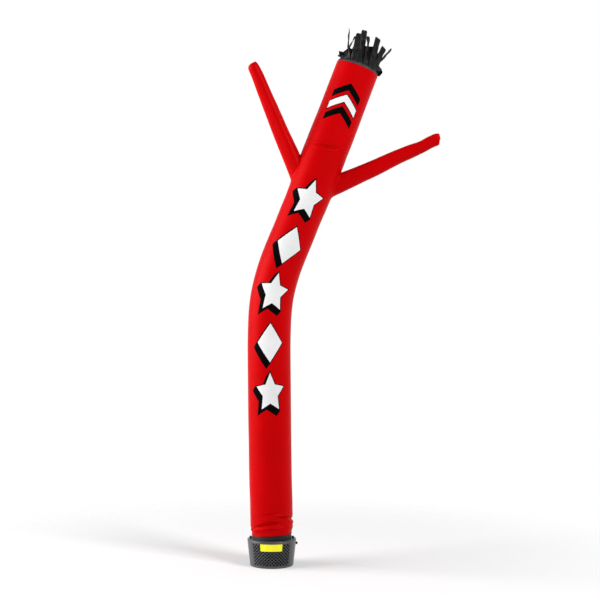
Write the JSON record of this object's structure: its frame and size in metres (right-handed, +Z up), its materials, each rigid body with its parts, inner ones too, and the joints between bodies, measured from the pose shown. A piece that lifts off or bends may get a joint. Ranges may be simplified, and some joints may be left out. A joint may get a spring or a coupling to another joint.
{
  "type": "inflatable air dancer on its fan blower",
  "caption": "Tall red cloth tube figure, blown up and leaning, with two tapering sleeves and a black fringe, on a round fan blower.",
  "frame": {"origin": "centre of the blower's flat underside, on the floor", "axes": "+Z up, +X to the right of the picture, the viewer of the picture at -Y"},
  "size_m": [2.0762, 0.581, 5.6998],
  "materials": {
    "red_cloth": "coated ripstop nylon, light sheen",
    "black_cloth": "black ripstop nylon, matt",
    "black_webbing": "woven strap",
    "housing_plastic": "textured moulded plastic",
    "grille_metal": "black powder coat",
    "plate_yellow": "satin yellow",
    "knob_plastic": "black moulded plastic"
  },
  "bodies": {
    "root": {"body_tube": "red_cloth", "head_tube": "red_cloth", "left_sleeve": "red_cloth", "right_sleeve": "red_cloth", "hair_outer": "black_cloth", "hair_inner": "black_cloth", "base_strap": "black_webbing", "blower_housing": "housing_plastic", "front_grille": "grille_metal", "back_grille": "grille_metal", "label_plate": "plate_yellow", "deck_knob_left": "knob_plastic", "deck_knob_right": "knob_plastic", "side_knob": "knob_plastic"}
  },
  "joints": []
}
